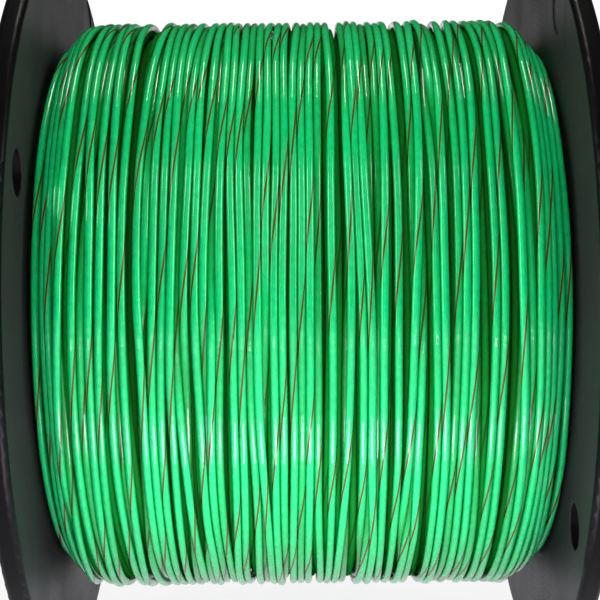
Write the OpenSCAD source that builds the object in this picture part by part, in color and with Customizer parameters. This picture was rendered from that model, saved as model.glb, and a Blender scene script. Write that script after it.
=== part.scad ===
// Wire spool: two moulded flanges on a barrel, wound full with thin insulated wire.
// The origin is the middle of the spool on its axis. +X runs along the axis, +Z is up.
// The spool lies on the rims of its flanges.

/* [Flanges] */
// Outside diameter of each flange
flange_d = 165; // [150:1:220]
// Clear width between the flanges' inner faces
traverse = 108; // [90:1:140]
// Depth of the rim along the axis
rim_depth = 4.5; // [4:0.1:7]
// Radial width of the rim
rim_w = 3.2; // [2.6:0.1:4.5]
// Radius that rounds the rim's outer edges
rim_round = 1.2; // [0.4:0.1:1.2]
// Thickness of the plate inside the rim
plate_t = 2.4; // [2:0.1:3.2]

/* [Ribs on the outer face] */
// Number of ribs from the hub to the rim
rib_n = 8; // [4:2:12]
// Thickness of each rib
rib_t = 1.6; // [1:0.1:2.5]
// How far the ribs stay below the rim's face
rib_drop = 0.6; // [0.2:0.1:1.2]

/* [Arbor] */
// Diameter of the hole that the spool turns on
arbor_d = 16.2; // [12:0.1:22]
// Wall of the hub around the arbor hole
hub_wall = 3.2; // [2:0.1:5]
// Length of the hub inside the barrel
hub_l = 16; // [8:1:30]
// Number of webs between the hub and the spigot
web_n = 4; // [2:1:8]

/* [Barrel] */
// Outside diameter of the barrel
barrel_d = 48.6; // [44:0.2:60]
// Wall of the barrel
barrel_wall = 2.5; // [2:0.1:4]
// Depth of the seat in each flange that the barrel's end stands in
seat_depth = 1; // [0.5:0.1:1.4]
// Length of each flange's spigot inside the barrel
spigot_l = 9; // [5:0.5:20]
// Wall of the spigot
spigot_wall = 2; // [1.5:0.1:3]
// Clearance between the barrel's wall and the spigot inside it, and the seat's edge outside it
spigot_gap = 0.1; // [0.05:0.01:0.3]

/* [Tie holes] */
// Diameter of the holes that take the wire's end
tie_hole_d = 9.5; // [5:0.1:11]
// Distance from the flange's edge in to the middle of each tie hole
tie_inset = 11.5; // [9.6:0.1:12.5]
// Number of tie holes in each flange
tie_n = 2; // [1:1:4]
// Height of the front tie hole above the axis on the left flange, as an angle
tie_angle_left = 21; // [0:0.5:45]
// Height of the front tie hole above the axis on the right flange, as an angle
tie_angle_right = -39.5; // [-45:0.5:0]
// Diameter of the round mark between two tie holes
mark_d = 12; // [6:0.1:13]
// Depth of the mark
mark_depth = 0.2; // [0.1:0.05:0.4]
// Distance from the edge of the mark to the rounded edge of the flange
mark_gap = 0.1; // [0.1:0.1:4]
// Angle by which each mark is turned off the middle between two tie holes
mark_turn = 4; // [0:0.5:8]
// Diameter of the hole beside the barrel that takes the wire's start
start_hole_d = 3.6; // [2:0.1:5]
// Distance from the barrel out to the edge of the start hole
start_gap = 2.8; // [2.6:0.1:5]

/* [Winding] */
// Diameter of the wire over its insulation
wire_d = 1.7; // [1:0.1:2]
// Height of flange left bare above the outermost turns
bare_rim = 16.5; // [16:0.5:28]
// Number of turns in the outermost layer as modelled
turns = 24; // [12:1:24]
// Width of the sloping shoulder beside each flange
shoulder_w = 6; // [3:0.5:9]
// Drop of the winding across the shoulder
shoulder_h = 6.5; // [2:0.5:14]
// Clearance between the winding and the flanges, and between the turns and the layers below
wind_gap = 0.3; // [0.2:0.05:0.6]
// Radius of the bend where each end of the outermost layer tucks in
tuck_r = 3; // [2:0.5:4]
// Angle round the axis, from the front upwards, where the outermost layer starts and ends
tuck_angle = 150; // [90:5:180]

/* [Hidden] */
$fn = 96;

flange_r = flange_d / 2;
arbor_r = arbor_d / 2;
hub_r = arbor_r + hub_wall;
barrel_r = barrel_d / 2;
bore_r = barrel_r - barrel_wall;
spigot_r = bore_r - spigot_gap;
barrel_l = traverse + 2 * seat_depth;
rib_top = rim_depth - rib_drop;
tie_r = flange_r - tie_inset;
mark_r = flange_r - rim_round - mark_gap - mark_d / 2;
start_r = barrel_r + start_gap + start_hole_d / 2;
winding_r = flange_r - bare_rim;
seam = 0.01;

// A ring of the outermost layer has this many points, and the tube this many sides.
turn_rings = 24;
tube_sides = 6;
tuck_steps = 4;
wire_r = wire_d / 2;
// Centre line of the outermost turns: flat in the middle, sloping down beside the flanges.
top_r = winding_r - wire_r;
end_x = traverse / 2 - wind_gap - wire_r;
flat_x = end_x - shoulder_w;
slope_l = norm([shoulder_w, shoulder_h]);
slope_a = atan2(shoulder_h, shoulder_w);
half_run = flat_x + slope_l;
// A straight piece between two rings dips below the circle by this much.
chord_dip = top_r * (1 - cos(180 / turn_rings));
// The under layers stay this far below the centre line of the turns.
under = wire_r + chord_dip + wind_gap;
core_x = traverse / 2 - wind_gap;
core_top_r = top_r - under;
core_flat_x = flat_x - under * tan(slope_a / 2);
core_edge_r = top_r - (under + (core_x - flat_x) * sin(slope_a)) / cos(slope_a);

// Distance along the layer to place: x along the axis and r from it.
function lay_x(s) = abs(s) <= flat_x ? s : sign(s) * (flat_x + (abs(s) - flat_x) * cos(slope_a));
function lay_r(s) = abs(s) <= flat_x ? top_r : top_r - (abs(s) - flat_x) * sin(slope_a);
// A point round the axis: angle a runs from the front (-Y) upwards.
function round_point(x, r, a) = [x, -r * cos(a), r * sin(a)];
function round_way(a) = [0, sin(a), cos(a)];
function unit(v) = v / norm(v);

steps = turns * turn_rings;
layer = [
    for (i = [0 : steps])
        let (s = half_run * (2 * i / steps - 1))
        round_point(lay_x(s), lay_r(s), tuck_angle + 360 * i / turn_rings)
];

// Each end bends from the way the wire runs to the way square into the slope below it.
function tuck(at, way, down) = concat(
    [for (k = [1 : tuck_steps])
        let (a = 90 * k / tuck_steps)
        at + tuck_r * (sin(a) * way + (1 - cos(a)) * down)],
    [at + tuck_r * (way + down) + wire_d * down]
);
function reversed(list) = [for (i = [len(list) - 1 : -1 : 0]) list[i]];
down_left = [sin(slope_a), cos(tuck_angle) * cos(slope_a), -sin(tuck_angle) * cos(slope_a)];
down_right = [-sin(slope_a), down_left[1], down_left[2]];
route = concat(
    reversed(tuck(layer[0], -round_way(tuck_angle), down_left)),
    layer,
    tuck(layer[steps], round_way(tuck_angle), down_right)
);
last = len(route) - 1;

// Rings of the tube stand square to the route.
function way_at(i) = unit(unit(route[min(i + 1, last)] - route[min(i, last - 1)])
    + unit(route[max(i, 1)] - route[max(i - 1, 0)]));
function ring(i) =
    let (way = way_at(i), side = unit([1, 0, 0] - way[0] * way), up = cross(way, side))
    [for (k = [0 : tube_sides - 1])
        let (a = 360 * k / tube_sides)
        route[i] + wire_r * (cos(a) * side + sin(a) * up)];
tube_points = [for (i = [0 : last]) each ring(i)];
function corner(i, k) = i * tube_sides + k % tube_sides;
tube_faces = concat(
    [for (i = [0 : last - 1], k = [0 : tube_sides - 1])
        each [[corner(i, k), corner(i, k + 1), corner(i + 1, k)],
              [corner(i, k + 1), corner(i + 1, k + 1), corner(i + 1, k)]]],
    [for (k = [1 : tube_sides - 2]) [corner(0, 0), corner(0, k + 1), corner(0, k)]],
    [for (k = [1 : tube_sides - 2]) [corner(last, 0), corner(last, k), corner(last, k + 1)]]
);

// Least gap between the tube and itself, measured from each ring's centre to those half a turn to a turn
// and a half further on.
least_gap = min([for (i = [0 : last - turn_rings], j = [turn_rings / 2 : 3 * turn_rings / 2])
    if (i + j <= last) norm(route[i] - route[i + j])]) - wire_d;
echo(least_gap = least_gap);

// Turns a solid of revolution made about +Z so that its axis lies along +X.
module along_x() {
    rotate([0, 90, 0]) children();
}

// Cuts a convex corner of a profile to a quarter round. The corner is at the point and the solid lies
// towards way, such as [-1, 1] for down the radius and up the axis.
module corner_cut(point, way, r) {
    translate(point) scale_to(way) difference() {
        translate([-seam, -seam]) square(r + seam);
        translate([r, r]) circle(r);
    }
}

module scale_to(way) {
    mirror([way[0] < 0 ? 1 : 0, 0]) mirror([0, way[1] < 0 ? 1 : 0]) children();
}

// The flange's turned profile: x is the radius, y runs outwards from the inner face.
module flange_profile() {
    difference() {
        union() {
            translate([arbor_r, 0]) square([flange_r - arbor_r, plate_t]);
            translate([flange_r - rim_w, 0]) square([rim_w, rim_depth]);
            translate([arbor_r, -hub_l]) square([hub_wall, hub_l + rim_depth]);
            translate([spigot_r - spigot_wall, -spigot_l]) square([spigot_wall, spigot_l + seat_depth]);
            translate([bore_r - rib_t, 0]) square([barrel_wall + 2 * rib_t, rib_top]);
        }
        translate([spigot_r, -seam]) square([barrel_r + spigot_gap - spigot_r, seat_depth + seam]);
        corner_cut([flange_r, 0], [-1, 1], rim_round);
        corner_cut([flange_r, rim_depth], [-1, -1], rim_round);
        corner_cut([flange_r - rim_w, rim_depth], [1, -1], rim_round / 2);
        corner_cut([hub_r, rim_depth], [-1, -1], rim_round / 2);
    }
}

// One moulding: the inner face is at x = 0 and +X is outwards. A tie hole lies on +Y.
module flange() {
    difference() {
        union() {
            along_x() rotate_extrude() flange_profile();
            for (i = [0 : rib_n - 1])
                rotate([180 / rib_n + i * 360 / rib_n, 0, 0])
                    translate([plate_t - seam, hub_r - seam, -rib_t / 2])
                        cube([rib_top - plate_t + seam, flange_r - rim_w - hub_r + 2 * seam, rib_t]);
            for (i = [0 : web_n - 1])
                rotate([i * 360 / web_n, 0, 0])
                    translate([-spigot_l, hub_r - seam, -rib_t / 2])
                        cube([spigot_l + seam, spigot_r - spigot_wall - hub_r + 2 * seam, rib_t]);
        }
        for (i = [0 : tie_n - 1])
            rotate([i * 360 / tie_n, 0, 0])
                translate([-rim_depth, tie_r, 0])
                    along_x() cylinder(d = tie_hole_d, h = 3 * rim_depth);
        for (i = [0 : tie_n - 1])
            rotate([(i + 0.5) * 360 / tie_n - mark_turn, 0, 0])
                translate([-mark_depth, mark_r, 0])
                    along_x() cylinder(d = mark_d, h = 2 * mark_depth);
        translate([-rim_depth, start_r, 0])
            along_x() cylinder(d = start_hole_d, h = 3 * rim_depth);
    }
}

module flange_left() {
    color("#1c1d1f")
        translate([-traverse / 2, 0, 0]) rotate([0, 0, 180]) rotate([tie_angle_left, 0, 0]) flange();
}

module flange_right() {
    color("#1c1d1f")
        translate([traverse / 2, 0, 0]) rotate([180 - tie_angle_right, 0, 0]) flange();
}

module barrel() {
    color("#141516") translate([-barrel_l / 2, 0, 0]) along_x()
        difference() {
            cylinder(r = barrel_r, h = barrel_l);
            translate([0, 0, -1]) cylinder(r = bore_r, h = barrel_l + 2);
        }
}

// Every layer below the outermost one, as one body with sloping shoulders.
module winding_core() {
    color("#0e8f4a") along_x() rotate_extrude() polygon([
        [barrel_r, -core_x],
        [core_edge_r, -core_x],
        [core_top_r, -core_flat_x],
        [core_top_r, core_flat_x],
        [core_edge_r, core_x],
        [barrel_r, core_x]
    ]);
}

// The outermost layer: one unbroken length that crosses from flange to flange and tucks in at both ends.
module winding_turns() {
    color("#14c868") polyhedron(points = tube_points, faces = tube_faces, convexity = 10);
}

flange_left();
flange_right();
barrel();
winding_core();
winding_turns();
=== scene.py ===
# %% [markdown]
# # A full spool of thin green wire
#
# A wire spool is two black moulded flanges on a barrel, wound full with one long length of thin insulated
# wire. The flanges and the barrel are hard mouldings with exact sizes, so their shapes come ready made as
# the frame, and only need a finish. The wire is a soft piece: what makes it look real is the untidy way
# in which its turns lie, and that is worked out here.

# %% Load the frame
import math

import bpy
import numpy as np
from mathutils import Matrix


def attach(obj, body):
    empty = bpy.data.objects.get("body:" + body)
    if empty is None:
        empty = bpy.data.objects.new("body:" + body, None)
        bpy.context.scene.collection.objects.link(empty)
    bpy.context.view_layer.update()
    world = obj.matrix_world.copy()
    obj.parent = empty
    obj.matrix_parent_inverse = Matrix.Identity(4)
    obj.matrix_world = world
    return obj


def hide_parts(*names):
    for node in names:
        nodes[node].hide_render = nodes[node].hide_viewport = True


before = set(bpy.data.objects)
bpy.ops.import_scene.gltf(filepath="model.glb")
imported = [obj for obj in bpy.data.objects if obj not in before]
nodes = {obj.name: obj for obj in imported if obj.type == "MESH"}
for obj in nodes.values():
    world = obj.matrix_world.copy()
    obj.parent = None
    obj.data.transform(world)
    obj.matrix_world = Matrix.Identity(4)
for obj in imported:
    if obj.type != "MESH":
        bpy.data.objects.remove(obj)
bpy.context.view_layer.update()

# %% [markdown]
# ## Sizes
#
# The wire is 1.7 mm over its insulation. The turns lie on a profile that is flat along the middle and
# slopes down beside each flange, because the last turns of a layer roll off its edge. These are the sizes
# of the frame's winding, so the wire fills the space that the frame keeps for it.

# %% Sizes in millimetres
MM = 0.001
WIRE_D = 1.7
WIRE_R = WIRE_D / 2
FLANGE_R = 82.5
CLEAR_HALF = 54.0
TOP_R = 65.15
FLAT_HALF = 46.85
SHOULDER_W = 6.0
SHOULDER_H = 6.5
START_ANGLE = math.radians(150)
STANDS_ON = -FLANGE_R * MM
print("wire", WIRE_D, "mm; winding", 2 * (TOP_R + WIRE_R), "mm across")

# %% [markdown]
# ## Camera
#
# The camera looks level at the middle of the winding from close by, so the inner faces of both flanges
# open towards it. From far away they would hardly show. It is rolled by 0.6 degrees, and a small shift
# centres the view.

# %% Camera
FRAME_PX = 600
SHIFT_PX = (-1.3, 3.0)
CAMERA_AWAY = 0.325
ROLL = 0.0105

camera = bpy.data.objects.new("camera", bpy.data.cameras.new("camera"))
bpy.context.scene.collection.objects.link(camera)
bpy.context.scene.camera = camera
camera.location = (0, -CAMERA_AWAY, 0)
camera.rotation_euler = (math.pi / 2, ROLL, 0)
camera.data.sensor_width = 36
camera.data.lens = 81.2
camera.data.shift_x = SHIFT_PX[0] / FRAME_PX
camera.data.shift_y = SHIFT_PX[1] / FRAME_PX
camera.data.clip_start = 0.01
print("camera at", tuple(round(v, 3) for v in camera.location), "lens", camera.data.lens, "mm")

# %% [markdown]
# ## Helpers for materials
#
# Colours are written as the hex values that a paint chart shows. Blender mixes light in linear values, so
# one function turns the first kind into the second. Another small function adds a node, sets its values
# and links it, which keeps each material short enough to read as a recipe.


# %% Helpers for materials
def linear(hex_colour):
    """Linear RGBA of an sRGB hex colour: c / 12.92 where dark, ((c + 0.055) / 1.055) ** 2.4 elsewhere."""
    c = np.array([int(hex_colour[i:i + 2], 16) for i in (1, 3, 5)]) / 255
    return (*np.where(c <= 0.04045, c / 12.92, ((c + 0.055) / 1.055) ** 2.4).tolist(), 1.0)


def add(tree, kind, links=None, values=None, **settings):
    """Adds a node. links maps its inputs to the outputs that feed them, values maps inputs to constants."""
    node = tree.nodes.new(kind)
    for name, value in settings.items():
        setattr(node, name, value)
    for name, value in (values or {}).items():
        node.inputs[name].default_value = value
    for name, output in (links or {}).items():
        tree.links.new(output, node.inputs[name])
    return node


def new_material(name):
    """An empty node material with that name, and its tree."""
    material = bpy.data.materials.new(name)
    material.use_nodes = True
    material.node_tree.nodes.clear()
    return material, material.node_tree


print("middle grey, #808080, is", round(linear("#808080")[0], 3), "in linear light")

# %% [markdown]
# ## Black moulded polystyrene
#
# The flanges are injection moulded in high-impact polystyrene, coloured black all through. The mould
# leaves a satin face that shows soft reflections and a slight unevenness where the plastic shrank. The
# inner faces are rougher than the rim and the holes, because the wire has rubbed them: fine scuffs run
# round the axis, so they follow the distance from it. Their colour is also painted a lighter grey than the
# rim, a painted sheen in place of the grey reflection that these faces show. Two masks, by distance along
# the axis and from it, keep the scuffs and the painted sheen on the inner faces. A small bevel in the
# shading rounds the hard edges a little, as on any moulding.

# %% Where the wire has rubbed the flanges, and where their sheen is painted
FACE_DEPTH_MM = (0.1, 0.3)
RIM_INSET_MM = (1.1, 1.7)

polystyrene, tree = new_material("moulded_black_polystyrene")
place = add(tree, "ShaderNodeTexCoord").outputs["Object"]
parts = add(tree, "ShaderNodeSeparateXYZ", {0: place})
across = add(tree, "ShaderNodeCombineXYZ", {"X": parts.outputs["Y"], "Y": parts.outputs["Z"]})
radius = add(tree, "ShaderNodeVectorMath", {0: across.outputs[0]}, operation="LENGTH").outputs["Value"]
side = add(tree, "ShaderNodeMath", {0: parts.outputs["X"]}, operation="ABSOLUTE")
facing_in = add(tree, "ShaderNodeMapRange", {"Value": side.outputs[0]},
                {"From Min": (CLEAR_HALF + FACE_DEPTH_MM[1]) * MM,
                 "From Max": (CLEAR_HALF + FACE_DEPTH_MM[0]) * MM})
inside_rim = add(tree, "ShaderNodeMapRange", {"Value": radius},
                 {"From Min": (FLANGE_R - RIM_INSET_MM[0]) * MM,
                  "From Max": (FLANGE_R - RIM_INSET_MM[1]) * MM})
# 1 on the inner faces: there scuffs roughen the surface, and a painted sheen greys its colour.
rubbed_and_sheen = add(tree, "ShaderNodeMath", {0: facing_in.outputs[0], 1: inside_rim.outputs[0]},
             operation="MULTIPLY")
print("rubbed out to", FLANGE_R - RIM_INSET_MM[1], "mm from the axis")

# %% Scuffs, colour and painted sheen of the polystyrene
SHRINK_MM = 14.0
SCUFF_MM = 0.5
# Painted sheen greys for the inner faces; the rim keeps its own black.
PAINTED_SHEEN_GREYS = ("#242224", "#2d2a2d")
RIM_BLACK = "#070708"
MOULDED_ROUGHNESS = 0.36
RUBBED_ROUGHER = (0.02, 0.14)
TWO_NOISES = (0.7, 1.3)  # the range in which the sum of two noises mostly lies

ring_place = add(tree, "ShaderNodeCombineXYZ", {"X": radius, "Y": parts.outputs["X"]})
scuffs = add(tree, "ShaderNodeTexNoise", {"Vector": ring_place.outputs[0]},
             {"Scale": 1 / (SCUFF_MM * MM), "Detail": 3.0, "Roughness": 0.6})
patches = add(tree, "ShaderNodeTexNoise", {"Vector": place},
              {"Scale": 1 / (SHRINK_MM * MM), "Detail": 3.0, "Roughness": 0.55})
mixed = add(tree, "ShaderNodeMath", {0: scuffs.outputs[0], 1: patches.outputs[0]}, operation="ADD")
matted = add(tree, "ShaderNodeMapRange", {"Value": mixed.outputs[0]},
             {"From Min": TWO_NOISES[0], "From Max": TWO_NOISES[1],
              "To Min": RUBBED_ROUGHER[0], "To Max": RUBBED_ROUGHER[1]})
rubbed_matt = add(tree, "ShaderNodeMath", {0: matted.outputs[0], 1: rubbed_and_sheen.outputs[0]}, operation="MULTIPLY")
roughness = add(tree, "ShaderNodeMath", {0: rubbed_matt.outputs[0]}, {1: MOULDED_ROUGHNESS}, operation="ADD")
# Painted sheen: a lighter grey in place of the inner faces' grey reflection.
painted_sheen = add(tree, "ShaderNodeMix", {"Factor": patches.outputs[0]}, data_type="RGBA")
painted_sheen.inputs["A"].default_value = linear(PAINTED_SHEEN_GREYS[0])
painted_sheen.inputs["B"].default_value = linear(PAINTED_SHEEN_GREYS[1])
# Base colour: black on the rim, painted sheen grey on the inner faces.
shade = add(tree, "ShaderNodeMix", {"Factor": rubbed_and_sheen.outputs[0], "B": painted_sheen.outputs["Result"]},
            data_type="RGBA")
shade.inputs["A"].default_value = linear(RIM_BLACK)
print("roughness", MOULDED_ROUGHNESS, "on the rim, and up to", RUBBED_ROUGHER[1], "more on the inner faces")

# %% Relief of the polystyrene, and the finished material
GRAIN_MM = 0.35  # real moulded grain is finer, and is drawn this coarse so that it shows
EDGE_MM = 0.6

grain = add(tree, "ShaderNodeTexNoise", {"Vector": place}, {"Scale": 1 / (GRAIN_MM * MM), "Detail": 2.0})
eased_edges = add(tree, "ShaderNodeBevel", values={"Radius": EDGE_MM * MM}, samples=6)
fine = add(tree, "ShaderNodeBump", {"Height": grain.outputs[0], "Normal": eased_edges.outputs[0]},
           {"Strength": 0.05, "Distance": 0.05 * MM})
wavy = add(tree, "ShaderNodeBump", {"Height": patches.outputs[0], "Normal": fine.outputs[0]},
           {"Strength": 0.15, "Distance": 0.3 * MM})
bsdf = add(tree, "ShaderNodeBsdfPrincipled",
           {"Base Color": shade.outputs["Result"], "Roughness": roughness.outputs[0],
            "Normal": wavy.outputs[0]},
           {"Specular IOR Level": 0.09, "IOR": 1.5})
add(tree, "ShaderNodeOutputMaterial", {"Surface": bsdf.outputs[0]})

for name in ("flange_left", "flange_right", "barrel"):
    nodes[name].data.materials.clear()
    nodes[name].data.materials.append(polystyrene)
print("finished", polystyrene.name, "on the flanges and the barrel")

# %% [markdown]
# ## Green vinyl with a spiral tracer
#
# Hook-up wire is copper strands in a thin vinyl skin, extruded smooth and glossy. A thin brown tracer
# line is laid on the skin as it leaves the die, and the wire turns slowly, so the tracer becomes a long
# spiral. The pattern has to follow the wire and not the spool, so it reads a UV map that says how far
# along the wire and how far round it each point lies.

# %% The tracer's stripe
TRACER_PITCH_MM = 46.0
TRACER_W_MM = 0.42
TRACER_BLUR = 0.25
ROUND_MM = math.pi * WIRE_D


def tracer_stripe(tree, round_share, along_mm):
    """1 on the stripe, 0 off it, with soft edges.

    u - v / pitch is the same all along one spiral line. Wrapped to 0..1, it is 0.5 in the middle of the
    stripe, and its distance from 0.5 is compared with half of the stripe's share of the way round.
    """
    turned = add(tree, "ShaderNodeMath", {0: along_mm}, {1: 1 / TRACER_PITCH_MM}, operation="MULTIPLY")
    spiral = add(tree, "ShaderNodeMath", {0: round_share, 1: turned.outputs[0]}, operation="SUBTRACT")
    wrapped = add(tree, "ShaderNodeMath", {0: spiral.outputs[0]}, {1: 1.0, 2: 0.0}, operation="WRAP")
    offset = add(tree, "ShaderNodeMath", {0: wrapped.outputs[0]}, {1: 0.5}, operation="SUBTRACT")
    away = add(tree, "ShaderNodeMath", {0: offset.outputs[0]}, operation="ABSOLUTE")
    half_share = TRACER_W_MM / ROUND_MM / 2
    return add(tree, "ShaderNodeMapRange", {"Value": away.outputs[0]},
               {"From Min": half_share * (1 + TRACER_BLUR),
                "From Max": half_share * (1 - TRACER_BLUR)}).outputs[0]


print("the tracer turns once every", TRACER_PITCH_MM, "mm and covers",
      round(TRACER_W_MM / ROUND_MM, 3), "of the skin")

# %% [markdown]
# ## Colour and painted shade of the vinyl
#
# The green drifts a little from batch to batch along the wire, and is faintly clouded. Between the turns
# the colour is painted dark, as painted shade. Light that gets there has bounced from wire to wire, and each
# bounce takes the green's colour once more, so the colour is raised to a growing power with depth below the
# outermost layer, a painted bounce light that makes it deeper and less blue. It is then mixed into a dark
# shade green. The lower sides of each wire are painted darker in the same way.

# %% Colour and painted shade of the vinyl
BATCH_MM = 60.0
MOTTLE_MM = 1.4
GREENS = ("#0bba68", "#14d47a")
TRACER_BROWN = "#5c3e0a"
# The painted shade's dark green, where the wire lies deepest.
PAINTED_SHADE_GREEN = "#165c1a"
SHADE_FROM_MM, SHADE_TO_MM = -2.1, 0.85
MOST_PAINTED_BOUNCES = 2.2
SHADE_POWER = 1.8


def green_with_painted_shade(tree, stripe, along, place, bared):
    """The striped green to the power of its painted bounces, mixed into the painted shade green by bared **
    SHADE_POWER.
    """
    batch = add(tree, "ShaderNodeTexNoise", {"Vector": along}, {"Scale": 1 / BATCH_MM, "Detail": 1.0})
    mottle = add(tree, "ShaderNodeTexNoise", {"Vector": place},
                 {"Scale": 1 / (MOTTLE_MM * MM), "Detail": 3.0})
    uneven = add(tree, "ShaderNodeMath", {0: batch.outputs[0], 1: mottle.outputs[0]}, operation="ADD")
    cloud = add(tree, "ShaderNodeMapRange", {"Value": uneven.outputs[0]},
                {"From Min": TWO_NOISES[0], "From Max": TWO_NOISES[1]})
    green = add(tree, "ShaderNodeMix", {"Factor": cloud.outputs[0]}, data_type="RGBA")
    green.inputs["A"].default_value = linear(GREENS[0])
    green.inputs["B"].default_value = linear(GREENS[1])
    striped = add(tree, "ShaderNodeMix", {"Factor": stripe, "A": green.outputs["Result"]}, data_type="RGBA")
    striped.inputs["B"].default_value = linear(TRACER_BROWN)
    # Painted bounce light: deeper skin takes the green to a higher power, deeper and less blue.
    painted_bounces = add(tree, "ShaderNodeMapRange", {"Value": bared}, {"To Min": MOST_PAINTED_BOUNCES, "To Max": 1.0})
    painted_bounce = add(tree, "ShaderNodeGamma", {"Color": striped.outputs["Result"], "Gamma": painted_bounces.outputs[0]})
    # Painted shade: the colour is mixed into the dark shade green as bared falls.
    painted_shade = add(tree, "ShaderNodeMath", {0: bared}, {1: SHADE_POWER}, operation="POWER")
    colour = add(tree, "ShaderNodeMix", {"Factor": painted_shade.outputs[0], "B": painted_bounce.outputs[0]},
                 data_type="RGBA")
    colour.inputs["A"].default_value = linear(PAINTED_SHADE_GREEN)
    return colour.outputs["Result"]


print("the lit green is", GREENS, "and wire deep down is", PAINTED_SHADE_GREEN)

# %% [markdown]
# ## Skin of the vinyl
#
# Seven strands lie twisted together under the thin skin and press through it as a faint ripple. The gloss
# is high where the skin is new, lower in stretches that were handled, and dull where dust has settled
# between the turns.

# %% Relief and gloss of the skin
STRAND_TWIST_MM = 2.2
SCRATCH_MM = 0.8
WORN_MM = 14.0
WORN_ROUGHNESS = (0.06, 0.26)
DUSTY_ROUGHER = 0.3


def skin_relief(tree, round_share, along_mm, place):
    """Normals of a spiral ripple, sin(2 pi (v / strand spacing + u)), with fine scratches on it."""
    strands = add(tree, "ShaderNodeMath", {0: along_mm}, {1: 1 / STRAND_TWIST_MM}, operation="MULTIPLY")
    twist = add(tree, "ShaderNodeMath", {0: strands.outputs[0], 1: round_share}, operation="ADD")
    wave = add(tree, "ShaderNodeMath", {0: twist.outputs[0]}, {1: 2 * math.pi}, operation="MULTIPLY")
    ripple = add(tree, "ShaderNodeMath", {0: wave.outputs[0]}, operation="SINE")
    scratch = add(tree, "ShaderNodeTexNoise", {"Vector": place},
                  {"Scale": 1 / (SCRATCH_MM * MM), "Detail": 4.0})
    skin = add(tree, "ShaderNodeBump", {"Height": ripple.outputs[0]},
               {"Strength": 0.25, "Distance": 0.02 * MM})
    return add(tree, "ShaderNodeBump", {"Height": scratch.outputs[0], "Normal": skin.outputs[0]},
               {"Strength": 0.2, "Distance": 0.02 * MM}).outputs[0]


def skin_gloss(tree, along, bared):
    """Roughness: worn in stretches along the wire, plus dust where the wire lies deep."""
    handled = add(tree, "ShaderNodeTexNoise", {"Vector": along}, {"Scale": 1 / WORN_MM, "Detail": 1.0})
    worn = add(tree, "ShaderNodeMapRange", {"Value": handled.outputs[0]},
               {"From Min": 0.35, "From Max": 0.65, "To Min": WORN_ROUGHNESS[0], "To Max": WORN_ROUGHNESS[1]})
    dust = add(tree, "ShaderNodeMapRange", {"Value": bared},
               {"From Min": 0.6, "From Max": 0.1, "To Max": DUSTY_ROUGHER})
    return add(tree, "ShaderNodeMath", {0: worn.outputs[0], 1: dust.outputs[0]}, operation="ADD").outputs[0]


print("roughness", WORN_ROUGHNESS[0], "where new,", WORN_ROUGHNESS[1], "where worn")


# %% The finished vinyl
def insulation(name, shine):
    """The wire's skin. Buried wire gets less shine, since its neighbours keep the lamps off it."""
    material, tree = new_material(name)
    uv = add(tree, "ShaderNodeUVMap", uv_map="along_wire")
    parts = add(tree, "ShaderNodeSeparateXYZ", {0: uv.outputs[0]})
    round_share, along_mm = parts.outputs["X"], parts.outputs["Y"]
    along = add(tree, "ShaderNodeCombineXYZ", {"X": along_mm}).outputs[0]
    place = add(tree, "ShaderNodeTexCoord").outputs["Object"]
    height = add(tree, "ShaderNodeAttribute", attribute_name="height_mm").outputs["Fac"]
    # bared is 1 on the outermost crests and 0 deep down; it sets the painted shade and the dust's roughness.
    bared = add(tree, "ShaderNodeMapRange", {"Value": height},
                {"From Min": SHADE_FROM_MM, "From Max": SHADE_TO_MM}).outputs[0]
    stripe = tracer_stripe(tree, round_share, along_mm)
    # The base colour carries painted shade, darker the deeper the skin lies.
    bsdf = add(tree, "ShaderNodeBsdfPrincipled",
               {"Base Color": green_with_painted_shade(tree, stripe, along, place, bared),
                "Roughness": skin_gloss(tree, along, bared),
                "Normal": skin_relief(tree, round_share, along_mm, place)},
               {"Specular IOR Level": shine, "IOR": 1.54})
    add(tree, "ShaderNodeOutputMaterial", {"Surface": bsdf.outputs[0]})
    return material


vinyl = insulation("extruded_green_vinyl", 0.45)
buried_vinyl = insulation("extruded_green_vinyl_buried", 0.0)
print("made", vinyl.name, "and", buried_vinyl.name)

# %% [markdown]
# ## How the wire lies
#
# A machine winds thin wire fast, so the turns don't lie side by side like thread on a screw. Each one
# wanders a little. Where two come too close, one climbs and the other sinks into the soft heap below. A
# neat helix would look wrong at once, and noise alone would push wires through each other. So the two
# outermost layers are settled, as a heap of ropes settles: each turn keeps near its own wandering line,
# is pulled towards its layer's height, stays stiff, and is pushed off whatever it touches. The layers are
# unrolled flat for this. The two unknowns are a, the distance along the layer from the middle, and h, the
# height above or below the outermost layer, both at stations round the spool.

# %% Smooth random values
RINGS = 144
HALF_RUN = FLAT_HALF + math.hypot(SHOULDER_W, SHOULDER_H)
LIFT_REACH = RINGS // 9
TWIST_REACH = RINGS // 3


def smooth_noise(count, reach, rng):
    """Random values blurred by a bell curve of that reach, scaled back to a spread of 1."""
    k = np.arange(-4 * reach, 4 * reach + 1)
    bell = np.exp(-0.5 * (k / reach) ** 2)
    return np.convolve(rng.standard_normal(count + len(bell) - 1), bell, mode="valid") / np.linalg.norm(bell)


print("a layer runs", round(2 * HALF_RUN, 1), "mm from flange to flange along its profile")

# %% The wandering line that each turn aims at
OUTER_TURNS, INNER_TURNS = 63, 60
WANDER_REACH = 19
LOOSER = 1.35
WAVES = 14
WAVE_MM = (7, 26)
WAVE_LOBES = (2, 9)


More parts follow.
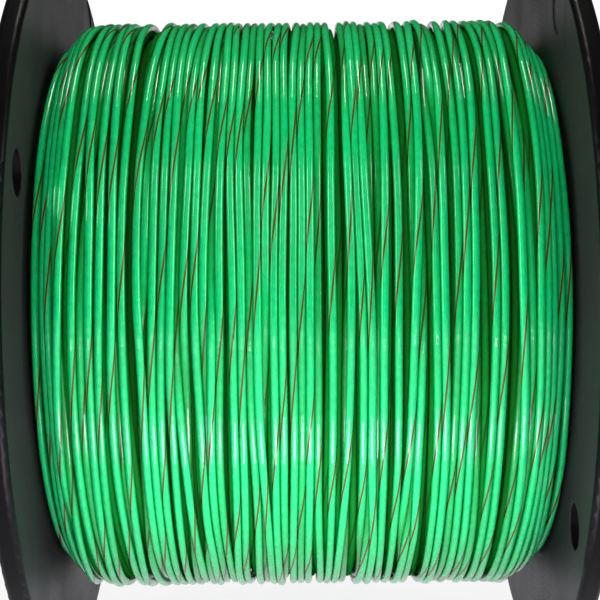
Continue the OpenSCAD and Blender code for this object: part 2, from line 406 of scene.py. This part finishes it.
def wandering(turns, way, own, shared, rng):
    """Places a, as turns by stations: a spread from flange to flange, plus two kinds of wander in mm.

    The spread is even along the flat and LOOSER times wider on the shoulders, where turns slip down. The
    shared wander is a sum of waves cos(2 pi a / length + p) cos(lobes * angle + q), which moves neighbours
    alike. The own one is smooth noise along the wire.
    """
    count = turns * RINGS
    even = np.linspace(-1, 1, count) * way * (FLAT_HALF + (HALF_RUN - FLAT_HALF) / LOOSER)
    even += np.sign(even) * (LOOSER - 1) * np.clip(np.abs(even) - FLAT_HALF, 0, None)
    around = np.tile(np.arange(RINGS) / RINGS * 2 * np.pi, turns)
    drift = np.zeros(count)
    for _ in range(WAVES):
        length, lobes = rng.uniform(*WAVE_MM), rng.integers(*WAVE_LOBES)
        phase = rng.uniform(0, 2 * np.pi, 2)
        wave = np.cos(2 * np.pi * even / length + phase[0]) * np.cos(lobes * around + phase[1])
        drift += wave / math.sqrt(WAVES / 2)
    place = even + shared * drift + own * smooth_noise(count, WANDER_REACH, rng)
    return np.clip(place, -HALF_RUN, HALF_RUN).reshape(turns, RINGS)


rng = np.random.default_rng(11)
aims = [wandering(OUTER_TURNS, 1, own=1.0, shared=0.38, rng=rng),
        wandering(INNER_TURNS, -1, own=0.8, shared=0.3, rng=rng)]
print("turns in the outer layer and the one below:", [len(aim) for aim in aims])

# %% [markdown]
# ## Stiffness and contact
#
# Two simple moves do the settling. A stiff wire doesn't kink, so each point is drawn towards the middle
# of the two beside it. Two wires can't share a place, so where their centre lines are nearer than one
# wire's width, both are pushed away by half of what is missing.


# %% Stiffness and contact
def straighten(values, share):
    """Moves each value towards the mean of the two beside it along the wire, as the wire's stiffness does."""
    flat = values.reshape(-1)
    out = flat.copy()
    out[1:-1] += share * ((flat[:-2] + flat[2:]) / 2 - flat[1:-1])
    return out.reshape(values.shape)


def push_apart(a, h, a2, h2):
    """Half of the way, along the line between them, by which two round wires overlap."""
    da, dh = a2 - a, h2 - h
    gap = np.hypot(da, dh) + 1e-9
    over = np.clip(WIRE_D - gap, 0, None) / 2
    return over * da / gap, over * dh / gap


print("wires 1.5 mm apart are each pushed", round(float(push_apart(0, 0, 1.5, 0)[0]), 3), "mm")

# %% Settle the two layers
REST = (0.0, -1.5)
START_LIFT = (0.7, 0.2)
ROUNDS = 200
FALL, RISE = 0.3, 0.03
HOMING = 0.06
STIFF = 0.8
NEAR_TURNS = (6, 3)
BETWEEN_LAYERS = 0.6
PUSH_ALONG, PUSH_UP = 0.35, 0.6


def pull_home(places, heights, aims, n):
    """Draws layer n towards its resting height and its wandering line, then straightens it twice."""
    off = heights[n] - REST[n]
    heights[n] = heights[n] - np.where(off > 0, FALL, RISE) * off
    places[n] = places[n] + HOMING * (aims[n] - places[n])
    for _ in range(2):
        places[n], heights[n] = straighten(places[n], STIFF), straighten(heights[n], STIFF)


def push_all(places, heights, row_aims):
    """One round of pushes inside each layer and between the two, summed first and then made."""
    station = np.arange(RINGS)
    move_a, move_h = [np.zeros_like(p) for p in places], [np.zeros_like(p) for p in places]
    for n, reach in enumerate(NEAR_TURNS):
        for near in range(1, reach + 1):
            da, dh = push_apart(places[n][:-near], heights[n][:-near], places[n][near:], heights[n][near:])
            for move, d in ((move_a[n], da), (move_h[n], dh)):
                move[near:] += d
                move[:-near] -= d
    row = np.searchsorted(-row_aims, -places[0])
    for beside in range(-3, 3):
        k = np.clip(row + beside, 0, len(row_aims) - 1)
        da, dh = push_apart(places[1][k, station], heights[1][k, station], places[0], heights[0])
        for move, d in ((move_a, da), (move_h, dh)):
            move[0] += BETWEEN_LAYERS * d
            np.add.at(move[1], (k, np.broadcast_to(station, k.shape)), -BETWEEN_LAYERS * d)
    for n in (0, 1):
        places[n] = np.clip(places[n] + PUSH_ALONG * move_a[n], -HALF_RUN, HALF_RUN)
        heights[n] = heights[n] + PUSH_UP * move_h[n]


def relax(aims, rng):
    """Places and heights of both layers at rest, after ROUNDS of pulling home and pushing apart."""
    places = [aim.copy() for aim in aims]
    heights = [rest + lift * smooth_noise(aim.size, LIFT_REACH, rng).reshape(aim.shape)
               for aim, rest, lift in zip(aims, REST, START_LIFT)]
    for _ in range(ROUNDS):
        for n in (0, 1):
            pull_home(places, heights, aims, n)
        for _ in range(2):
            push_all(places, heights, aims[1][:, 0])
    return list(zip(places, heights))


outer, inner = relax(aims, rng)
print("heights of the outer turns in mm:", np.percentile(outer[1], [0, 5, 50, 95, 100]).round(2).tolist())

# %% [markdown]
# ## From the flat layer to the spool
#
# The settled layer is wrapped back onto the spool. Distance along the layer becomes a point on the
# sloping profile, and height becomes distance square to it. The layer's end is pulled down under its
# neighbours at the back, where a winder tucks it in.

# %% Wrap a layer onto the spool
CORNER = 2.0
PROFILE_STEPS = 4000
FLANGE_GAP_MM = 0.1
TUCK_MM = 1.8
TUCK_STATIONS = 20


def profile(a, h):
    """Axial place x and radius r of a point a along the layer's profile and h above it.

    The profile's slope eases from 0 to the shoulder's angle over a short corner, and adding up its cosines
    and sines gives the line itself. Height goes square to that line.
    """
    fine = np.linspace(0, HALF_RUN + 2, PROFILE_STEPS)
    eased = np.clip((fine - (FLAT_HALF - CORNER)) / (2 * CORNER), 0, 1)
    slope = math.atan2(SHOULDER_H, SHOULDER_W) * (3 * eased ** 2 - 2 * eased ** 3)
    step = fine[1]
    line_x = np.concatenate([[0], np.cumsum(np.cos(slope[:-1]) * step)])
    line_r = TOP_R - np.concatenate([[0], np.cumsum(np.sin(slope[:-1]) * step)])
    lean = np.interp(np.abs(a), fine, slope)
    x = np.interp(np.abs(a), fine, line_x) + h * np.sin(lean)
    r = np.interp(np.abs(a), fine, line_r) + h * np.cos(lean)
    return np.sign(a) * np.minimum(x, CLEAR_HALF - FLANGE_GAP_MM - WIRE_R), r


def path_of(layer, tucked):
    """Points of the wire's centre line. The angle runs from the front upwards by one turn per row.

    Where the ends are tucked, the height eases down to TUCK_MM below the layer over TUCK_STATIONS stations.
    """
    a, h = layer[0].reshape(-1), layer[1].reshape(-1).copy()
    if tucked:
        ease = np.linspace(0, 1, TUCK_STATIONS)
        ease = 3 * ease ** 2 - 2 * ease ** 3
        h[:TUCK_STATIONS] = -TUCK_MM + (h[:TUCK_STATIONS] + TUCK_MM) * ease
        h[-TUCK_STATIONS:] = -TUCK_MM + (h[-TUCK_STATIONS:] + TUCK_MM) * ease[::-1]
    x, r = profile(a, h)
    angle = START_ANGLE + 2 * np.pi * np.arange(len(a)) / RINGS
    return np.stack([x, -r * np.cos(angle), r * np.sin(angle)], 1), h


outer_path, outer_height = path_of(outer, True)
inner_path, inner_height = path_of(inner, False)
print("the outer wire's centre line lies", round(float(np.abs(outer_path[:, 0]).max()), 2), "mm out at most")

# %% [markdown]
# ## A tube along a path
#
# The wire is a ring of points carried along its centre line, with each ring joined to the next. Nine
# sides are enough for a wire this thin, because the shading is smooth. Besides its place, each point
# stores how high it lies, for the painted shade, and each face corner its place round and along the wire,
# for the tracer.


# %% Points and faces of a tube
def tube_points(path, sides):
    """The rings' points, in metres, and the two ends of the path.

    The point on ring i and side k is path_i + R (cos t_k side_i + sin t_k up_i), where side_i is the spool's
    axis made square to the wire and up_i is square to both and points to the axis.
    """
    way = np.gradient(path, axis=0)
    way /= np.linalg.norm(way, axis=1, keepdims=True)
    side = np.array([1.0, 0, 0]) - way[:, :1] * way
    side /= np.linalg.norm(side, axis=1, keepdims=True)
    up = np.cross(way, side)
    t = 2 * np.pi * np.arange(sides) / sides
    rings = path[:, None] + WIRE_R * (np.cos(t)[:, None] * side[:, None] + np.sin(t)[:, None] * up[:, None])
    return np.concatenate([rings.reshape(-1, 3), path[:1], path[-1:]]) * MM


def tube_faces(count, sides):
    """Quads from each of count rings to the next, and a fan of triangles that closes each end."""
    i, k = np.meshgrid(np.arange(count - 1), np.arange(sides), indexing="ij")
    k2 = (k + 1) % sides
    quads = np.stack([i * sides + k, i * sides + k2, (i + 1) * sides + k2, (i + 1) * sides + k], -1)
    k = np.arange(sides)
    k2 = (k + 1) % sides
    first = np.stack([np.full(sides, count * sides), k2, k], 1)
    last = np.stack([np.full(sides, count * sides + 1), (count - 1) * sides + k, (count - 1) * sides + k2], 1)
    return quads.reshape(-1, 4), np.concatenate([first, last])


print("two rings of nine sides are joined by", len(tube_faces(2, 9)[0]), "quads")

# %% Pattern places on a tube
TWIST_WANDER_MM = 12.0


def tube_uv(path, sides, rng):
    """u, v of each face corner, and the wire's length in mm.

    u is the share of the way round, and v the distance along the wire in mm with a slow wander added, because
    the wire's twist isn't quite even. The ends' triangles take u = 0.5 and their ring's v.
    """
    count = len(path)
    along = np.concatenate([[0], np.cumsum(np.linalg.norm(np.diff(path, axis=0), axis=1))])
    i, k = np.meshgrid(np.arange(count - 1), np.arange(sides), indexing="ij")
    u = np.stack([k, k + 1, k + 1, k], -1) / sides
    twisted = along + TWIST_WANDER_MM * smooth_noise(count, TWIST_REACH, rng)
    v = twisted[np.stack([i, i, i + 1, i + 1], -1)]
    end_u = np.full(6 * sides, 0.5)
    end_v = np.repeat([twisted[0], twisted[-1]], 3 * sides)
    coords = np.stack([np.concatenate([u.reshape(-1), end_u]), np.concatenate([v.reshape(-1), end_v])], 1)
    return coords, along[-1]


def set_heights(mesh, height):
    """Stores how high each point lies above the outermost layer's centre line, in mm."""
    mesh.attributes.new("height_mm", "FLOAT", "POINT").data.foreach_set("value", height.astype(np.float32))


print("the twist wanders by about", TWIST_WANDER_MM, "mm along the wire")


# %% The two layers of wire
def wire_mesh(name, path, height, sides, rng, skin_material):
    """A closed tube along the path, with its pattern places, its points' heights and its material."""
    points = tube_points(path, sides)
    quads, fans = tube_faces(len(path), sides)
    corners = np.concatenate([quads.reshape(-1), fans.reshape(-1)])
    sizes = np.concatenate([np.full(len(quads), 4), np.full(len(fans), 3)])
    mesh = bpy.data.meshes.new(name)
    mesh.vertices.add(len(points))
    mesh.loops.add(len(corners))
    mesh.polygons.add(len(sizes))
    mesh.vertices.foreach_set("co", points.astype(np.float32).reshape(-1))
    mesh.loops.foreach_set("vertex_index", corners.astype(np.int32))
    mesh.polygons.foreach_set("loop_start", np.concatenate([[0], np.cumsum(sizes)[:-1]]).astype(np.int32))
    mesh.polygons.foreach_set("use_smooth", np.ones(len(sizes), bool))
    mesh.update(calc_edges=True)

    coords, length = tube_uv(path, sides, rng)
    layer = mesh.uv_layers.new(name="along_wire")
    layer.uv.foreach_set("vector", coords.astype(np.float32).reshape(-1))
    t = 2 * np.pi * np.arange(sides) / sides
    # Height of the skin itself: each wire's lower sides lie deeper, so the painted shade darkens them too.
    skin = (height[:, None] - WIRE_R * np.sin(t)).reshape(-1)
    set_heights(mesh, np.concatenate([skin, height[:1], height[-1:]]))

    piece = bpy.data.objects.new(name, mesh)
    bpy.context.scene.collection.objects.link(piece)
    mesh.materials.append(skin_material)
    print(name, len(path), "rings,", round(length / 1000, 1), "m of wire,",
          len(quads) * 2 + len(fans), "triangles")
    return piece


# The layer below shows less, so it makes do with every second ring and eight sides.
outer_turns = wire_mesh("wire_outer_layer", outer_path, outer_height, 9, rng, vinyl)
inner_turns = wire_mesh("wire_layer_below", inner_path[::2], inner_height[::2], 8, rng, buried_vinyl)

# %% [markdown]
# ## The layers further down
#
# Between two wires of the outer layers a little of the next layers shows, always in deep shadow. A turned
# body with one ridge for each turn is enough there. Its ridges run round the spool like the turns do, and
# its bore is the barrel's outside. It lies so deep that its colour is all painted shade green.

# %% The layers further down
RIDGE_MM = 1.75
RIDGE_DEPTH_MM = 0.45
RIDGE_STEPS = 5
DEEP_TOP_MM = -2.6
DEEP_HALF = CLEAR_HALF - 0.3
BARREL_R = 24.3


def turned_body(name, x, r, segments=180):
    """A closed ring of revolution: the point at step j round is (x_i, -r_i cos w_j, r_i sin w_j)."""
    w = 2 * np.pi * np.arange(segments) / segments
    points = np.stack([np.broadcast_to(x[:, None], (len(x), segments)), -r[:, None] * np.cos(w),
                       r[:, None] * np.sin(w)], -1).reshape(-1, 3) * MM
    i, j = np.meshgrid(np.arange(len(x)), np.arange(segments), indexing="ij")
    i2, j2 = (i + 1) % len(x), (j + 1) % segments
    quads = np.stack([i * segments + j, i2 * segments + j, i2 * segments + j2, i * segments + j2], -1)
    mesh = bpy.data.meshes.new(name)
    mesh.from_pydata(points.tolist(), [], quads.reshape(-1, 4).tolist())
    mesh.polygons.foreach_set("use_smooth", np.ones(len(mesh.polygons), bool))
    piece = bpy.data.objects.new(name, mesh)
    bpy.context.scene.collection.objects.link(piece)
    return piece


ridge_a = np.arange(-HALF_RUN, HALF_RUN, RIDGE_MM / RIDGE_STEPS)
ridge_h = DEEP_TOP_MM - RIDGE_DEPTH_MM * (1 - np.abs(np.cos(np.pi * ridge_a / RIDGE_MM)))
ridge_x, ridge_r = profile(ridge_a, ridge_h)
body_x = np.concatenate([[-DEEP_HALF], ridge_x, [DEEP_HALF, DEEP_HALF, -DEEP_HALF]])
body_r = np.concatenate([[ridge_r[0]], ridge_r, [ridge_r[-1], BARREL_R, BARREL_R]])
layers_below = turned_body("wire_layers_deep", body_x, body_r)
layers_below.data.materials.append(buried_vinyl)
layers_below.data.uv_layers.new(name="along_wire")
# At this depth bared is 0, so the whole body takes the painted shade green.
set_heights(layers_below.data, np.full(len(layers_below.data.vertices), DEEP_TOP_MM))
print(layers_below.name, len(layers_below.data.polygons), "faces")

# %% [markdown]
# ## Joining the wire to the frame
#
# The frame's own winding is a plain stand-in. The outer turns take the place of its turns, and the deep
# layers that of its core. All the wire turns with the spool, so it rides on the spool's one body.

# %% Join the wire to the frame
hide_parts("winding_turns")
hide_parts("winding_core")
for piece in (outer_turns, inner_turns, layers_below):
    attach(piece, "root")
print("the wire rides on the spool")

# %% [markdown]
# ## Floor and background
#
# The spool stands on its rims on a white table, before a plain white background. White is what the camera
# sees directly, and part of it is also what glossy surfaces mirror, so a helper tells the rays apart.
# Nearly all the light on the object comes from lamps. In reflections the table is whitest close to the
# spool.


# %% What the camera sees as white
def seen_white(tree, mirrored_share):
    """1 for the camera's own rays, and mirrored_share for rays that a surface mirrors or lets through."""
    path = add(tree, "ShaderNodeLightPath")
    mirrored = add(tree, "ShaderNodeMath",
                   {0: path.outputs["Is Glossy Ray"], 1: path.outputs["Is Transmission Ray"]},
                   operation="ADD", use_clamp=True)
    part = add(tree, "ShaderNodeMath", {0: mirrored.outputs[0], 1: mirrored_share}, operation="MULTIPLY")
    return add(tree, "ShaderNodeMath", {0: path.outputs["Is Camera Ray"], 1: part.outputs[0]},
               operation="ADD", use_clamp=True).outputs[0]


print("helper for the table and the world is ready")

# %% Floor
FLOOR_HALF = 2
NEAR_M, FAR_M = 0.12, 0.3
NEAR_SHARE, FAR_SHARE = 0.55, 0.05
WHITE_SHARE = 0.88

floor_mesh = bpy.data.meshes.new("table_top")
floor_corners = [(x * FLOOR_HALF, y * FLOOR_HALF, STANDS_ON) for x, y in ((-1, -1), (1, -1), (1, 1), (-1, 1))]
floor_mesh.from_pydata(floor_corners, [], [(0, 1, 2, 3)])
floor = bpy.data.objects.new("table_top", floor_mesh)
bpy.context.scene.collection.objects.link(floor)
laminate, tree = new_material("white_table_laminate")
place = add(tree, "ShaderNodeTexCoord").outputs["Object"]
distance = add(tree, "ShaderNodeVectorMath", {0: place}, operation="LENGTH").outputs["Value"]
close = add(tree, "ShaderNodeMapRange", {"Value": distance},
            {"From Min": NEAR_M, "From Max": FAR_M, "To Min": NEAR_SHARE, "To Max": FAR_SHARE},
            interpolation_type="SMOOTHSTEP")
seen = seen_white(tree, close.outputs[0])
share = add(tree, "ShaderNodeMath", {0: seen}, {1: WHITE_SHARE}, operation="MULTIPLY")
matt = add(tree, "ShaderNodeBsdfDiffuse", values={"Color": linear("#f4f4f4")})
glow = add(tree, "ShaderNodeEmission", values={"Color": (1, 1, 1, 1), "Strength": 1.0})
mixed = add(tree, "ShaderNodeMixShader", {0: share.outputs[0], 1: matt.outputs[0], 2: glow.outputs[0]})
add(tree, "ShaderNodeOutputMaterial", {"Surface": mixed.outputs[0]})
floor_mesh.materials.append(laminate)
print("table", round(-STANDS_ON / MM, 1), "mm below the axis")

# %% World
BACKDROP_FROM, BACKDROP_TO = 0.93, 0.975
CEILING_FROM, CEILING_TO = 0.3, 0.8
ROOM = 0.03
SKY = 0.06

world = bpy.data.worlds.new("studio")
bpy.context.scene.world = world
world.use_nodes = True
tree = world.node_tree
tree.nodes.clear()
way = add(tree, "ShaderNodeSeparateXYZ", {0: add(tree, "ShaderNodeTexCoord").outputs["Generated"]})
backdrop = add(tree, "ShaderNodeMapRange", {"Value": way.outputs["Y"]},
               {"From Min": BACKDROP_FROM, "From Max": BACKDROP_TO}, interpolation_type="SMOOTHSTEP")
seen = seen_white(tree, backdrop.outputs[0])
ceiling = add(tree, "ShaderNodeMapRange", {"Value": way.outputs["Z"]},
              {"From Min": CEILING_FROM, "From Max": CEILING_TO, "To Min": ROOM, "To Max": SKY},
              interpolation_type="SMOOTHSTEP")
room = add(tree, "ShaderNodeBackground", {"Strength": ceiling.outputs[0]}, {"Color": (1, 1, 1, 1)})
white = add(tree, "ShaderNodeBackground", values={"Color": (1, 1, 1, 1), "Strength": 1.0})
mixed = add(tree, "ShaderNodeMixShader", {0: seen, 1: room.outputs[0], 2: white.outputs[0]})
add(tree, "ShaderNodeOutputWorld", {"Surface": mixed.outputs[0]})
print("room light", ROOM, "at the sides and", SKY, "overhead")

# %% [markdown]
# ## Lamps
#
# A slim, bright softbox hangs above and draws the sharp streaks near the top of the winding. Two tall
# windows far out at the sides draw a pale line along each wire. The table glows from below: a wide sheet
# lifts the underside, and a small bright strip and a long runner in front of the spool make the pale
# bands low on the winding. One panel over the camera lights the front. It is left out of reflections,
# because its own would lie across the whole winding.

# %% Lamps
SOFTBOX_WHITE = "#fffdf2"
TABLE_WHITE = "#f6e8ff"


def lamp(name, place, aim, size, radiance, colour="#ffffff"):
    """A rectangular panel lamp that the camera doesn't see. Its power in watts is radiance * pi * area."""
    light = bpy.data.lights.new(name, "AREA")
    light.shape = "RECTANGLE"
    light.size, light.size_y = size
    light.color = linear(colour)[:3]
    light.energy = radiance * math.pi * size[0] * size[1]
    ob = bpy.data.objects.new(name, light)
    bpy.context.scene.collection.objects.link(ob)
    ob.location = place
    ob.visible_camera = False
    way = np.array(aim, float) - np.array(place, float)
    flat = math.hypot(way[0], way[1])
    ob.rotation_euler = (math.atan2(flat, -way[2]), 0, math.atan2(way[1], way[0]) - math.pi / 2)
    return ob


lamp("softbox_above", (0, 0.02, 0.5), (0, 0.0, 0.03), (0.022, 0.18), 50, SOFTBOX_WHITE)
for side in (-1, 1):
    lamp("window", (side * 0.459, -0.206, 0.16), (0, -0.066, 0.0), (0.1, 0.45), 12)
lamp("table_glow", (0, -0.08, -0.0815), (0, -0.08, 1), (0.4, 0.36), 0.35, TABLE_WHITE)
lamp("table_strip", (0, -0.099, -0.081), (0, -0.099, 1), (0.034, 0.055), 15.5, TABLE_WHITE)
lamp("table_runner", (0, -0.33, -0.081), (0, -0.33, 1), (0.03, 0.36), 11.5, TABLE_WHITE)
front = lamp("front_panel", (0, -0.6, 0.23), (0, -0.066, 0), (0.25, 0.3), 5.5)
front.visible_glossy = False

# %% [markdown]
# ## Finish
#
# The Standard view shows each colour as it is written.

# %% Finish
bpy.context.scene.view_settings.view_transform = "Standard"
